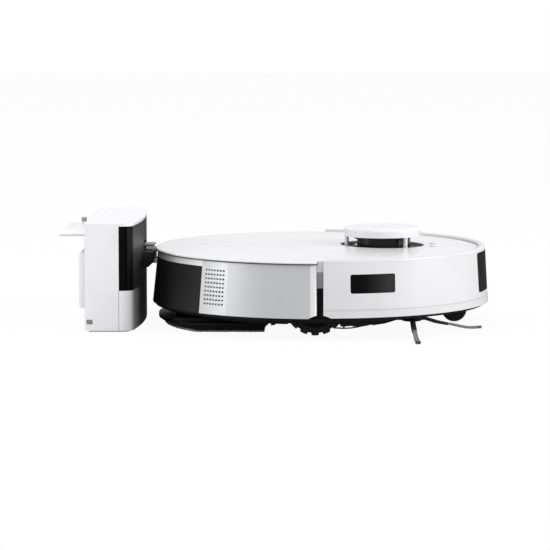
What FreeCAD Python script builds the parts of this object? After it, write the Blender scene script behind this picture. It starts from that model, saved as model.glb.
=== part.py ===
import FreeCAD, Part
import math
import os

# Robot vacuum parked on its charging dock. Millimetres.
# The origin is the floor point under the robot's centre, +X is the robot's front and +Z is up.
# The robot's right side is -Y. The dock stands behind the robot, at -X.

V = FreeCAD.Vector
os.makedirs("parts", exist_ok=True)

# ---- driving sizes: robot ----
robot_radius = 175.0          # widest point, at the foot of the side wall
wheel_radius = 31.0
wheel_width = 20.0
wheel_x = -4.5
wheel_inset = 50.0            # wheel centre, inwards from the tub wall
belly_z = 9.0                 # flat underside between the wheels
belly_inset = 45.0            # edge of the flat underside, inwards from the robot's outline
wall_bottom_z = 22.4          # foot of the side wall
head_room = 13.2              # side wall top, above the top of the wheels
wall_draft = 5.5              # how far the side wall leans in by its top
panel_wall = 2.2
tub_inset = 9.0               # tub wall, inwards from the robot's outline
tub_wall = 2.6
floor_wall = 3.0
joint_gap_x = -2.4            # rear end of the slot between the side panels and the bumper
bumper_gap = 6.4              # width of that slot
bumper_travel = 2.5
bumper_wall = 2.3
cover_crown = 2.3
cover_wall = 2.3
cover_rim = 3.0               # cover's rim, inwards from the robot's outline

# ---- driving sizes: turret, brushes, castor, mop ----
turret_x = 64.4
turret_radius = 40.0
turret_height = 24.2          # cap top, above the side wall's top
cap_height = 9.4
drum_radius = 29.5
post_radius = 2.2
press_travel = 1.2
brush_x = 24.0
brush_radius = 18.0
brush_core_radius = 9.0
brush_floor_gap = 2.0
side_brush_angle = -50.4
side_brush_reach = 87.0
side_arm_reach = 43.0
side_arm_width = 5.0
lug_count = 16
lug_depth = 2.4
castor_radius = 13.0
castor_trail = 2.2
mop_front_x = -52.0
mop_inset = 6.2               # mop plate, inwards from the robot's outline
mop_side_inset = 70.0
mop_plate_z = 2.9
mop_plate_height = 7.0
mop_travel = 3.5
button_radius = 6.0
button_x = 120.0
button_spread = 15.0

# ---- driving sizes: dock ----
dock_half_width = 103.5
dock_height = 110.0
dock_depth = 49.5             # back to the front face at the sides
dock_bulge = 6.0              # extra depth at the middle of the front
dock_standoff = 14.0          # robot outline to the dock's front face at the sides
dock_wall = 2.5
dock_corner = 12.0
dock_back_corner = 5.0
arm_half_width = 32.0
arm_height = 16.0
foot_height = 1.2
inlet_width = 7.8
inlet_height = 6.5
inlet_depth = 7.0

# ---- clearances ----
run_fit = 0.05                # radial, shaft in its bore
part_gap = 0.4                # between pieces that move past each other
seam = 0.4

# ---- derived levels ----
wall_top_z = 2 * wheel_radius + head_room
tub_radius = robot_radius - tub_inset
tub_inner = tub_radius - tub_wall
skirt_z = wall_top_z - 23.2
deck_z = wall_top_z - 1.2
deck_wall = 3.0
cover_z = wall_top_z + seam
cover_radius = robot_radius - cover_rim
flange_inner = robot_radius - 9.8
cover_front_radius = flange_inner - bumper_travel - 0.5
rear_floor_z = 14.2
front_floor_z = 20.0
rim_foot_z = wall_bottom_z - 5.6
mop_pocket_z = rear_floor_z + 2.8
mop_pocket_front = mop_front_x + 1.0
rear_step_x = wheel_x - 23.5
ramp_start_x = 45.0
ramp_end_x = 72.0
cap_z = wall_top_z + turret_height - cap_height

# ---- derived plan positions ----
wheel_y = tub_radius - wheel_inset
well_in = wheel_y - wheel_width / 2 - 7.0
well_out = wheel_y + wheel_width / 2 + 7.0
well_rear = wheel_x - wheel_radius - 6.5
well_front = wheel_x + wheel_radius + 6.5
well_top = 2 * wheel_radius + 4.0
arch_rear = wheel_x - 27.0
arch_front = wheel_x + 25.0
arch_z = 16.4                 # how high the tub is open beside the wheels
arch_rise = 3.6               # notch over the wheels in the panels and the bumper
arch_radius = 20.2
arch_mid_x = joint_gap_x + bumper_gap / 2
pivot_x = wheel_x + wheel_radius + 1.5
pivot_z = wheel_radius + 15.0
pivot_radius = 2.5
motor_radius = 12.0
motor_length = 22.0
motor_x = wheel_x - 13.5
motor_z = wheel_radius + 9.0
bay_in = well_in - motor_length - 1.0
bay_front = motor_x + motor_radius + 14.0
bin_half = bay_in - 6.0
pin_x = -(tub_radius - 20.0)
pin_y = 45.0
pin_radius = 3.0
pin_boss = 6.0
brush_z = brush_radius + brush_floor_gap
house_half_x = brush_radius + 3.0
house_half_y = well_in - 11.0
house_top = brush_z + brush_radius + 4.0
brush_half_y = house_half_y - 10.0
bin_rear = pin_x + pin_boss + 5.0
bin_front = brush_x - house_half_x - 23.0
bin_floor_z = 28.0
bin_top_z = deck_z - deck_wall - 5.0
bin_wall = 2.0
tank_length = 42.0
tank_front = bin_rear + tank_length
castor_pocket = castor_radius + castor_trail + 2.3
castor_x = tub_inner - castor_pocket - 4.0
side_motor_radius = 13.0
side_brush_r = tub_inner - side_motor_radius - 5.1
side_brush_x = side_brush_r * math.cos(math.radians(side_brush_angle))
side_brush_y = side_brush_r * math.sin(math.radians(side_brush_angle))
fan_radius = 26.0
fan_x = -88.0
fan_y = math.sqrt((tub_inner - fan_radius - 1.5) ** 2 - fan_x ** 2)
fan_z = 24.0
fan_height = 28.0
dock_side_x = -(robot_radius + dock_standoff)
dock_back_x = dock_side_x - dock_depth
dock_front_x = dock_side_x + dock_bulge
contact_z = wall_top_z - 11.2
arm_top_z = wall_top_z - 0.2
arm_front_x = -(robot_radius - 2.0)
contact_y = 14.0
contact_face_x = -(robot_radius - 5.6)

RIGHT = -1
LEFT = 1


# ---- shape helpers ----
def save(shape, name):
    """Write one node's solids to its STEP file."""
    solids = shape.Solids
    print(name, len(solids), round(shape.Volume / 1000, 1), shape.isValid())
    whole = Part.makeCompound(solids) if len(solids) > 1 else solids[0]
    whole.exportStep("parts/" + name + ".step")


def block(x0, x1, y0, y1, z0, z1):
    return Part.makeBox(x1 - x0, y1 - y0, z1 - z0, V(x0, y0, z0))


def rod(radius, z0, z1, x=0.0, y=0.0):
    return Part.makeCylinder(radius, z1 - z0, V(x, y, z0))


def rod_y(radius, y0, y1, x, z):
    low, high = min(y0, y1), max(y0, y1)
    return Part.makeCylinder(radius, high - low, V(x, low, z), V(0, 1, 0))


def tube(outer, inner, z0, z1, x=0.0, y=0.0):
    return rod(outer, z0, z1, x, y).cut(rod(inner, z0 - 1, z1 + 1, x, y))


def spun(path, x=0.0, y=0.0):
    """Turn a closed outline of (radius, z) points about a vertical axis.

    A point written as (radius, z, "via") is the middle of an arc."""
    edges = []
    points = [V(p[0], 0, p[1]) for p in path]
    index = 0
    count = len(path)
    while index < count:
        after = (index + 1) % count
        if len(path[after]) == 3:
            end = (index + 2) % count
            edges.append(Part.Arc(points[index], points[after], points[end]).toShape())
            index += 2
        else:
            edges.append(Part.makeLine(points[index], points[after]))
            index += 1
    face = Part.Face(Part.Wire(edges))
    solid = face.revolve(V(0, 0, 0), V(0, 0, 1), 360)
    solid.translate(V(x, y, 0))
    return solid


def prism_y(outline, y0, y1):
    """Extrude an outline of (x, z) points along Y."""
    points = [V(x, y0, z) for x, z in outline]
    face = Part.Face(Part.makePolygon(points + [points[0]]))
    return face.extrude(V(0, y1 - y0, 0))


def sector(start, end, z0, z1):
    """A pie slice between two azimuths, wider than the robot."""
    reach = robot_radius * 2
    slice_ = Part.makeCylinder(reach, z1 - z0, V(0, 0, z0), V(0, 0, 1), end - start)
    slice_.rotate(V(0, 0, 0), V(0, 0, 1), start)
    return slice_


def side_radius(z):
    """Outer radius of the robot's leaning side wall at a height."""
    return robot_radius - wall_draft * (z - wall_bottom_z) / (wall_top_z - wall_bottom_z)


def side_shell(z0, z1, wall=panel_wall, inset=0.0):
    outer = Part.makeCone(side_radius(z0) - inset, side_radius(z1) - inset, z1 - z0, V(0, 0, z0))
    inner = Part.makeCone(side_radius(z0) - inset - wall, side_radius(z1) - inset - wall, z1 - z0, V(0, 0, z0))
    return outer.cut(inner)


def rounded_plate(width, height, depth, corner, azimuth, z):
    """A rounded rectangle standing on its edge, extruded outwards along an azimuth."""
    plate = Part.makeBox(depth, width, height, V(0, -width / 2, z))
    upright = [e for e in plate.Edges if abs(e.tangentAt(e.FirstParameter).x) > 0.99]
    plate = plate.makeFillet(corner, upright)
    plate.rotate(V(0, 0, 0), V(0, 0, 1), azimuth)
    return plate


def mirror_y(shape):
    return shape.mirror(V(0, 0, 0), V(0, 1, 0))


def both_sides(make):
    """The right side's shape and its mirror image."""
    right = make()
    return right, mirror_y(right)


def link(a, ra, b, rb, y0, y1):
    """A flat lever along Y: two round ends joined by their outer tangents, centres as (x, z)."""
    dx, dz = b[0] - a[0], b[1] - a[1]
    reach = math.hypot(dx, dz)
    facing = math.atan2(dz, dx)
    lean = math.acos((ra - rb) / reach)
    outline = []
    for centre, radius, side in ((a, ra, 1), (b, rb, 1), (b, rb, -1), (a, ra, -1)):
        angle = facing + side * lean
        outline.append((centre[0] + radius * math.cos(angle), centre[1] + radius * math.sin(angle)))
    plate = prism_y(outline, y0, y1)
    return plate.fuse([rod_y(ra, y0, y1, a[0], a[1]), rod_y(rb, y0, y1, b[0], b[1])])


def one(shape):
    return shape.removeSplitter()


# ---- chassis ----
def ramp_floor(rise):
    """Everything under the raised front floor; rise lifts its surface."""
    outline = [(ramp_start_x, belly_z + rise), (ramp_end_x, front_floor_z + rise),
               (robot_radius * 2, front_floor_z + rise), (robot_radius * 2, -10), (ramp_start_x, -10)]
    return prism_y(outline, -robot_radius * 2, robot_radius * 2)


def raised_rear(z, x):
    return block(-robot_radius * 2, x, -robot_radius * 2, robot_radius * 2, -10, z)


screw_points = [(rear_step_x + 7, y) for y in (-64, -30, 30, 64)]
cliff_points = [(tub_inner - 12.0, angle) for angle in (-57, -22, 22, 57)]


def chassis_outer():
    rim = robot_radius - 3.0
    outline = [(0, belly_z), (robot_radius - belly_inset, belly_z), (robot_radius - 10, rim_foot_z),
               (rim, wall_bottom_z - 2.8), (rim, wall_bottom_z), (tub_radius, wall_bottom_z),
               (tub_radius, skirt_z), (0, skirt_z)]
    outer = spun(outline).cut([ramp_floor(0), raised_rear(rear_floor_z, rear_step_x)])
    front_rim = tube(robot_radius * 2, robot_radius - 5.0, 0, wall_bottom_z + 1)
    front_rim = front_rim.common(block(joint_gap_x, robot_radius * 2, -robot_radius * 2, robot_radius * 2, 0, 99))
    pocket = block(pin_x - pin_boss, mop_pocket_front, -mop_pod_half, mop_pod_half, 0, mop_pocket_z)
    return outer.cut([front_rim, pocket])


def chassis_inner():
    outline = [(0, belly_z + floor_wall), (robot_radius - belly_inset - 2, belly_z + floor_wall),
               (tub_inner, rim_foot_z + floor_wall + 0.2), (tub_inner, skirt_z + 1), (0, skirt_z + 1)]
    inner = spun(outline)
    return inner.cut([ramp_floor(floor_wall + 0.3), raised_rear(mop_pocket_z + floor_wall, rear_step_x + 3)])


mop_pod_half = robot_radius - 83.0


def wheel_well(side, grow):
    """The pocket that holds one wheel and its gearbox; grow gives its outside."""
    main = block(well_rear - grow, well_front + grow, well_in - grow, well_out + grow, -1, well_top + grow)
    motor_bay = block(well_rear - grow, bay_front + grow, bay_in - grow, well_in + 1,
                      rear_floor_z + floor_wall - grow, well_top - 6 + grow)
    pocket = main.fuse(motor_bay)
    return pocket if side == LEFT else mirror_y(pocket)


def under_skirt():
    """The space below the slope that runs from the flat underside up to the rim."""
    reach = robot_radius * 2
    outline = [(robot_radius - belly_inset, -10), (robot_radius - belly_inset, belly_z),
               (robot_radius - 10, rim_foot_z), (robot_radius - 3, wall_bottom_z - 2.8),
               (reach, wall_bottom_z - 2.8), (reach, -10)]
    return spun(outline)


def wheel_arch(side, grow, z0):
    """The opening beside a wheel under the rim; grow gives the walls round it."""
    arch = block(arch_rear - grow, arch_front + grow, well_out - 5, robot_radius * 2, z0, arch_z + grow)
    return arch if side == LEFT else mirror_y(arch)


def wheel_notch():
    """A low round notch over both wheels, cut from the panels and the bumper."""
    return rod_y(arch_radius, -robot_radius * 2, robot_radius * 2, arch_mid_x,
                 wall_bottom_z + arch_rise - arch_radius)


def chassis_base():
    wall = 2.0
    tub = chassis_outer().cut(chassis_inner())
    keep_above = block(-robot_radius, robot_radius, -robot_radius, robot_radius, belly_z, 200)
    wells = [wheel_well(side, wall).common(keep_above) for side in (RIGHT, LEFT)]
    wells += [wheel_arch(side, wall, belly_z).common(chassis_outer()) for side in (RIGHT, LEFT)]
    housing = block(brush_x - house_half_x - wall, brush_x + house_half_x + wall,
                    -house_half_y - wall, house_half_y + wall, belly_z, house_top + wall)
    castor_wall = rod(castor_pocket + wall, front_floor_z, castor_top + wall + 1, castor_x)
    castor_boss = rod(7.0, castor_top, castor_top + 12, castor_x)
    pin_bosses = [rod(pin_boss, mop_pocket_z, mop_pocket_z + 16, pin_x, side * pin_y)
                  for side in (RIGHT, LEFT)]
    board_posts = [rod(3.0, belly_z + 3, board_z, x, y)
                   for x in (board_x0 + 5, board_x1 - 5) for y in board_post_y]
    board_posts = [post.cut(ramp_floor(1)) for post in board_posts]
    mop_stop = prism_y([(mop_pocket_front + 1.5, rear_floor_z), (mop_pocket_front + 1.5, 7.0),
                        (mop_pocket_front + 5, 7.5), (mop_pocket_front + 15, rear_floor_z)],
                       3 - mop_half, mop_half - 3)
    brush_collar = rod(7.0, front_floor_z, side_motor_z, side_brush_x, side_brush_y)
    tub = tub.fuse(wells + [housing, castor_wall, castor_boss, brush_collar] + pin_bosses + board_posts)
    tub = tub.cut([raised_rear(rear_floor_z, rear_step_x), under_skirt()]).fuse(mop_stop)
    holes = [wheel_well(side, 0) for side in (RIGHT, LEFT)]
    holes += [wheel_arch(side, 0, 0) for side in (RIGHT, LEFT)]
    holes.append(block(brush_x - house_half_x, brush_x + house_half_x,
                       -house_half_y, house_half_y, -1, house_top))
    holes.append(rod(castor_pocket, 0, castor_top, castor_x))
    holes.append(rod(castor_stem + run_fit, 0, castor_top + 13, castor_x))
    holes += [rod(pin_radius + run_fit, 0, mop_pocket_z + 17, pin_x, side * pin_y) for side in (RIGHT, LEFT)]
    holes += [rod(1.5, 0, belly_z + 5, x, y) for x, y in screw_points]
    holes += [cliff_shape(radius, angle, 0.0) for radius, angle in cliff_points]
    holes.append(rod_y(4 + run_fit, -house_half_y - 3, house_half_y + 3, brush_x, brush_z))
    holes.append(rod(side_shaft + run_fit, 0, side_motor_z + 1, side_brush_x, side_brush_y))
    holes.append(block(brush_x - house_half_x - 3, brush_x - house_half_x + 1,
                       -duct_half + duct_wall, duct_half - duct_wall, duct_z0 + duct_wall, duct_z1 - duct_wall))
    tub = tub.cut(holes)
    pins = [rod_y(pivot_radius, side * (well_in - 1), side * (well_out + 1), pivot_x, pivot_z)
            for side in (RIGHT, LEFT)]
    return one(tub.fuse(pins))


castor_top = 2 * castor_radius + 8.0
castor_stem = 4.0
board_z = 40.0
board_x0 = brush_x + house_half_x + 9.0
board_x1 = castor_x - castor_pocket - 6.5
board_post_y = (-66.0, 2.0)
side_motor_z = 25.0
side_shaft = 2.5
duct_half = 42.0
duct_wall = 2.0
duct_z0 = 29.0
duct_z1 = 51.0


def cliff_shape(radius, angle, proud):
    piece = block(radius - 4, radius + 4, -8, 8, front_floor_z - proud, front_floor_z + floor_wall + 0.3)
    piece.rotate(V(0, 0, 0), V(0, 0, 1), angle)
    return piece


def cliff_sensors():
    return Part.makeCompound([cliff_shape(radius, angle, 0.6) for radius, angle in cliff_points])


def underside_screws():
    screws = [rod(3.5, belly_z - 0.8, belly_z, x, y).fuse(rod(1.5, belly_z, belly_z + 5, x, y))
              for x, y in screw_points]
    return Part.makeCompound([one(screw) for screw in screws])


rib_wall = 2.8
rib_top_z = wall_top_z + 2.9    # just under the bumper's inner flange


def inner_deck():
    """Light plate over the works, with a skirt on the tub wall and a rib between cover and bumper."""
    skirt = tube(tub_radius, tub_inner, skirt_z, wall_top_z)
    plate = rod(tub_inner + 1, deck_z - deck_wall, deck_z)
    rib = tube(cover_front_radius + rib_wall, cover_front_radius + part_gap, deck_z - 1, rib_top_z)
    rib = rib.common(block(joint_gap_x + 0.5, robot_radius, -robot_radius, robot_radius, 0, 200))
    deck = plate.fuse([skirt, rib])
    holes = [block(bin_rear - 2, bin_front + 2, -bin_half - 2, bin_half + 2, 0, deck_z + 1)]
    holes.append(rod(turret_radius - 2, 0, deck_z + 1, turret_x))
    holes += [rod(3 + run_fit, 0, deck_z + 1, button_x, y) for y in (-button_spread, button_spread)]
    guides = [tube(6, 3 + run_fit, deck_z - 12, deck_z, button_x, y) for y in (-button_spread, button_spread)]
    return one(deck.cut(holes).fuse(guides))


# ---- side walls ----
grille_start = 122.5          # azimuths, counted from the front
grille_end = 133.9
grille_rows = 9
grille_columns = 7
end_block = 9.0               # depth of the rounded front end of a side panel


def side_panel():
    """Conical panel with a thick rounded end at the bumper slot."""
    shell = side_shell(wall_bottom_z, wall_top_z)
    thick = side_shell(wall_bottom_z, wall_top_z, tub_inset - 0.3 - wall_draft)
    end_zone = block(joint_gap_x - end_block, joint_gap_x, -robot_radius * 2, 0, 0, 200)
    panel = shell.common(sector(-grille_start, -80, 0, 200))
    panel = panel.common(block(-robot_radius, joint_gap_x, -robot_radius * 2, 0, 0, 200))
    panel = one(panel.fuse(thick.common(end_zone)))
    corner = [e for e in panel.Edges if abs(e.BoundBox.XMax - joint_gap_x) < 0.01 and e.BoundBox.XLength < 0.01
              and e.BoundBox.YMin < -side_radius(wall_top_z) + 0.5 and e.BoundBox.ZLength > 20]
    outermost = min(corner, key=lambda e: e.BoundBox.YMin)
    return panel.makeFillet(3.0, [outermost]).cut(wheel_notch())


def vent_grilles():
    shell = side_shell(wall_bottom_z, wall_top_z)
    grille = shell.common(sector(-grille_end, -grille_start, 0, 200))
    pitch = (wall_top_z - wall_bottom_z - 15.0) / grille_rows
    step = (grille_end - grille_start - 2.6) / grille_columns
    slots = []
    for row in range(grille_rows):
        z = wall_bottom_z + 9.5 + row * pitch
        for column in range(grille_columns):
            slot = block(robot_radius - 20, robot_radius + 5, -1.2, 1.2, z, z + 1.8)
            slot.rotate(V(0, 0, 0), V(0, 0, 1), -grille_end + 1.8 + step * (column + 0.3))
            slots.append(slot)
    grille = grille.cut(slots)
    return Part.makeCompound([grille, mirror_y(grille)])


strip_z = wall_top_z - 5.7


def contact_window(grow):
    return [block(-robot_radius - 5, contact_face_x + 20,
                  side * contact_y - 5 - grow, side * contact_y + 5 + grow,
                  contact_z - 4 - grow, contact_z + 4 + grow) for side in (RIGHT, LEFT)]


def rear_panel():
    shell = side_shell(wall_bottom_z, wall_top_z).common(sector(grille_end, 360 - grille_end, 0, strip_z))
    return shell.cut(contact_window(0.6))


def rear_trim():
    return side_shell(wall_bottom_z, wall_top_z).common(sector(grille_end, 360 - grille_end, strip_z, 200))


def charging_contacts():
    plates = [window.common(block(contact_face_x, contact_face_x + 3.0, -99, 99, 0, 200))
              for window in contact_window(0)]
    return Part.makeCompound(plates)


# ---- bumper ----
window_half_angle = 20.8
window_z0 = wall_top_z - 38.7
window_z1 = wall_top_z + 1.8
side_window_angle = 72.0
side_window_width = 46.8
side_window_z0 = wall_top_z - 28.0
side_window_z1 = wall_top_z - 9.1
bumper_top_z = wall_top_z + 6.1


def bumper_skin():
    lip = robot_radius
    low = robot_radius - 0.7
    high = robot_radius - 3.4
    outline = [(lip, wall_bottom_z + 0.6), (lip, wall_bottom_z + 8.1), (low, wall_bottom_z + 8.1),
               (high, wall_top_z + 2.3), (high - 0.7, bumper_top_z - 1.0, "via"), (high - 3.2, bumper_top_z),
               (flange_inner, bumper_top_z - 0.8), (flange_inner, bumper_top_z - 2.8),
               (high - bumper_wall - 1, bumper_top_z - 2.4), (high - bumper_wall, wall_top_z + 1.5),
               (low - bumper_wall, wall_bottom_z + 8.1), (low - bumper_wall, wall_bottom_z + 0.6)]
    skin = spun(outline)
    front = block(joint_gap_x + bumper_gap, robot_radius * 2, -robot_radius * 2, robot_radius * 2, 0, 200)
    return skin.common(front)


def front_window_cut():
    width = 2 * (robot_radius - 2) * math.sin(math.radians(window_half_angle))
    return rounded_plate(width, window_z1 - window_z0, robot_radius * 2, 3.0, 0, window_z0)


def side_window_cut(side):
    height = side_window_z1 - side_window_z0
    return rounded_plate(side_window_width, height, robot_radius * 2, 2.0, side * side_window_angle, side_window_z0)


def bumper_shell():
    return bumper_skin().cut([front_window_cut(), side_window_cut(RIGHT), side_window_cut(LEFT), wheel_notch()])


def front_window():
    return bumper_skin().common(front_window_cut())


def side_windows():
    skin = bumper_skin()
    return Part.makeCompound([skin.common(side_window_cut(side)) for side in (RIGHT, LEFT)])


# ---- cover, light and buttons ----
light_x = -121.0
light_y = 13.0


def crown_ball(reach, rise, top):
    """The large ball whose cap is the crown: it drops by the rise at that reach."""
    radius = (reach ** 2 + rise ** 2) / (2 * rise)
    return Part.makeSphere(radius, V(0, 0, top - radius))


def cover_disc():
    edge = cover_z + 2.9
    crown = edge + cover_crown
    outer = crown_ball(cover_radius - 1.2, cover_crown, crown)
    inner = crown_ball(cover_radius - 2.5, cover_crown, crown - cover_wall)
    outline = [(0, crown + 1), (cover_radius - 1.2, crown + 1), (cover_radius - 1.2, edge),
               (cover_radius - 0.3, edge - 0.4, "via"), (cover_radius, edge - 1.3), (cover_radius, cover_z),
               (0, cover_z)]
    well = rod(cover_radius - 2.5, cover_z - 1, crown)
    disc = spun(outline).common(outer).cut(well.common(inner))
    front_edge = tube(robot_radius * 2, cover_front_radius, 0, 200)
    front_edge = front_edge.common(block(joint_gap_x, robot_radius * 2,
                                         -robot_radius * 2, robot_radius * 2, 0, 200))
    return disc.cut(front_edge)


def top_cover():
    holes = [rod(turret_radius + 3.5, 0, 200, turret_x), rod(3.0, 0, 200, light_x, light_y)]
    holes += [rod(button_radius + 0.4, 0, 200, button_x, y) for y in (-button_spread, button_spread)]
    return cover_disc().cut(holes)


def status_light():
    return rod(3.0, cover_z, cover_z + 20, light_x, light_y).common(cover_disc())


def button(y):
    head = rod(button_radius, cover_z + 1.0, cover_z + cover_crown + 2.7, button_x, y)
    rim = [e for e in head.Edges if e.BoundBox.ZMin > cover_z + cover_crown + 2.6]
    head = head.makeFillet(0.6, rim)
    stem = rod(3.0, deck_z - 10, cover_z + 1.0, button_x, y)
    return one(head.fuse(stem))


# ---- turret ----
def lidar_base():
    flange = rod(turret_radius + 2, deck_z, deck_z + 3.6, turret_x)
    cup = rod(turret_radius - 2.5, deck_z - 10, deck_z, turret_x)
    base = flange.fuse(cup)
    hollow = tube(turret_radius - 4.5, 8, deck_z - 8, deck_z + 1.0, turret_x)
    bore = rod(4 + run_fit, 0, 200, turret_x)
    return one(base.cut([hollow, bore] + turret_posts(run_fit, deck_z - 1)))


def turret_posts(grow, z0):
    posts = []
    for angle in (-51, 69, 189):
        x = turret_x + (turret_radius - 2.6) * math.cos(math.radians(angle))
        y = (turret_radius - 2.6) * math.sin(math.radians(angle))
        posts.append(rod(post_radius + grow, z0, cap_z + 1, x, y))
    return posts


def lidar_motor():
    can = rod(8.0, deck_z - 22, deck_z - 10, turret_x + 22)
    return one(can.fuse(rod(1.5, deck_z - 24, deck_z - 22, turret_x + 22)))


def lidar_head():
    top = cap_z - press_travel - part_gap
    drum = rod(drum_radius, deck_z + 4.1, top, turret_x)
    eye = block(turret_x - drum_radius - 1, turret_x - drum_radius + 5, -14, 14, deck_z + 6, top - 1.5)
    shaft = rod(4.0, deck_z - 9, deck_z + 5, turret_x)
    return one(drum.cut(eye).fuse(shaft))


def lidar_cap():
    top = cap_z + cap_height
    radius = turret_radius
    outline = [(0, top), (radius - 3.5, top), (radius - 1.0, top - 1.1, "via"), (radius, top - 3.5),
               (radius, cap_z), (radius - 2.5, cap_z), (radius - 2.5, top - 4.0), (radius - 5, top - 2.4),
               (0, top - 2.4)]
    cap = spun(outline, turret_x)
    return one(cap.fuse(turret_posts(0.0, deck_z + press_travel + 0.5)))


# ---- dust bin and tank ----
bin_gap = 0.8


def dust_bin():
    tray = block(tank_front, bin_front, -bin_half, bin_half, bin_floor_z, bin_top_z)
    inside = block(tank_front + bin_wall, bin_front - bin_wall, -bin_half + bin_wall, bin_half - bin_wall,
                   bin_floor_z + bin_wall, bin_top_z + 1)
    mouth = block(bin_front - bin_wall - 1, bin_front + 1, -duct_half + duct_wall, duct_half - duct_wall,
                  duct_z0 + duct_wall, duct_z1 - duct_wall)
    outlet = block(tank_front + 12, bin_front - 12, bin_half - bin_wall - 1, bin_half + 1,
                   bin_floor_z + 8, bin_top_z - 4)
    return tray.cut([inside, mouth, outlet])


def bin_filter():
    return block(tank_front + 12, bin_front - 12, bin_half - bin_wall - 6, bin_half,
                 bin_floor_z + 8, bin_top_z - 4)


def bin_lid():
    """Lid over the bin and the tank, with a finger bridge to lift both by."""
    plate = block(bin_rear, bin_front, -bin_half, bin_half, bin_top_z, bin_top_z + 2.5)
    middle = (bin_rear + bin_front) / 2
    dish = block(middle - 20, middle + 20, -24, 24, bin_top_z + 1.2, bin_top_z + 3)
    bridge = block(middle - 7, middle + 7, -25, 25, bin_top_z + 2.0, bin_top_z + 4.6)
    bridge = bridge.cut(block(middle - 8, middle + 8, -20, 20, bin_top_z, bin_top_z + 2.6))
    return one(plate.cut(dish).fuse(bridge))


def water_tank():
    tank = block(bin_rear, tank_front, -bin_half, bin_half, bin_floor_z, bin_top_z)
    hollow = block(bin_rear + bin_wall, tank_front - bin_wall, -bin_half + bin_wall, bin_half - bin_wall,
                   bin_floor_z + bin_wall, bin_top_z - bin_wall)
    return tank.cut(hollow)


def suction_duct():
    front = brush_x - house_half_x - 2.0
    rear = bin_front + bin_gap
    outer = block(rear, front, -duct_half, duct_half, duct_z0, duct_z1)
    inner = block(rear - 1, front + 1, -duct_half + duct_wall, duct_half - duct_wall,
                  duct_z0 + duct_wall, duct_z1 - duct_wall)
    return outer.cut(inner)


# ---- electronics, fan and motors ----
def main_board():
    board = block(board_x0, board_x1, board_post_y[0] - 4, board_post_y[1] + 4, board_z, board_z + 1.6)
    chips = [block(board_x0 + 12, board_x0 + 26, -50, -36, board_z + 1.6, board_z + 3.2),
             block(board_x0 + 10, board_x0 + 20, -28, -18, board_z + 1.6, board_z + 3.0),
             block(board_x1 - 14, board_x1 - 6, -60, -12, board_z + 1.6, board_z + 6.6)]
    return one(board.fuse(chips))


def battery_pack():
    pack = block(board_x0 + 2, board_x1, 12, bin_half + 8, front_floor_z + floor_wall + 0.8, 46)
    return pack.makeFillet(3.0, [e for e in pack.Edges if e.BoundBox.ZLength > 10])


def fan_housing():
    outer = rod(fan_radius, fan_z, fan_z + fan_height, fan_x, fan_y)
    hollow = rod(fan_radius - 2, fan_z + 13, fan_z + fan_height - 2, fan_x, fan_y)
    bore = rod(2 + run_fit, fan_z + 4, fan_z + 14, fan_x, fan_y)
    intake = rod(10, fan_z + fan_height - 3, fan_z + fan_height + 1, fan_x, fan_y)
    exhaust = block(fan_x - fan_radius - 2, fan_x, fan_y - 8, fan_y + 8, fan_z + 14, fan_z + fan_height - 3)
    return outer.cut([hollow, bore, intake, exhaust])


def fan_impeller():
    z = fan_z + 14
    wheel = rod(fan_radius - 4, z, z + 1.5, fan_x, fan_y).fuse(rod(5, z, z + 9, fan_x, fan_y))
    blades = []
    for index in range(9):
        blade = block(fan_x + 4, fan_x + fan_radius - 4.5, fan_y - 0.6, fan_y + 0.6, z + 1.0, z + 8.5)
        blade.rotate(V(fan_x, fan_y, 0), V(0, 0, 1), index * 40)
        blades.append(blade)
    return one(wheel.fuse(blades + [rod(2, fan_z + 5, z + 1, fan_x, fan_y)]))


def brush_motor():
    gears = block(brush_x - 14, brush_x + house_half_x + 20, house_half_y + 2.2, well_in - 2.2,
                  front_floor_z + floor_wall + 0.8, house_top)
    can = rod_y(10, well_in - 2.2, well_in + 28, brush_x + house_half_x + 13, house_top - 10)
    return one(gears.fuse(can))


def side_brush_motor():
    can = rod(side_motor_radius, side_motor_z + 3, side_motor_z + 25, side_brush_x, side_brush_y)
    gears = rod(side_motor_radius - 3, side_motor_z, side_motor_z + 3, side_brush_x, side_brush_y)
    bore = rod(side_shaft + run_fit, 0, side_motor_z + 6, side_brush_x, side_brush_y)
    return one(can.fuse(gears).cut(bore))


# ---- drive wheels ----
arm_y0 = well_in + 0.8
arm_y1 = wheel_y - wheel_width / 2 - 1.2


def suspension_arm():
    """Right-hand lever: pivot bush, wheel bearing and motor seat."""
    bearing = link((pivot_x, pivot_z), 5.0, (wheel_x, wheel_radius), 9.0, -arm_y1, -arm_y0)
    seat = link((wheel_x, wheel_radius), 9.0, (motor_x, motor_z), motor_radius + 1, -arm_y1, -arm_y0)
    holes = [rod_y(pivot_radius + run_fit, -arm_y1 - 1, -arm_y0 + 1, pivot_x, pivot_z),
             rod_y(3 + run_fit, -arm_y1 - 1, -arm_y0 + 1, wheel_x, wheel_radius)]
    return one(bearing.fuse(seat).cut(holes))


def drive_motor():
    can = rod_y(motor_radius, -arm_y0, -(arm_y0 - motor_length + 2), motor_x, motor_z)
    return one(can.fuse(rod_y(4, -(arm_y0 - motor_length + 2), -(arm_y0 - motor_length + 0.5), motor_x, motor_z)))


def wheel_hub():
    outer_y = -(wheel_y + wheel_width / 2)
    inner_y = -(wheel_y - wheel_width / 2)
    hub = rod_y(wheel_radius - 8, outer_y + 1, inner_y, wheel_x, wheel_radius)
    dish = rod_y(wheel_radius - 12, outer_y, outer_y + 5, wheel_x, wheel_radius)
    cap = rod_y(7, outer_y + 1.5, outer_y + 6, wheel_x, wheel_radius)
    stub = rod_y(3, inner_y, -arm_y0, wheel_x, wheel_radius)
    return one(hub.cut(dish).fuse([cap, stub]))


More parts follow.
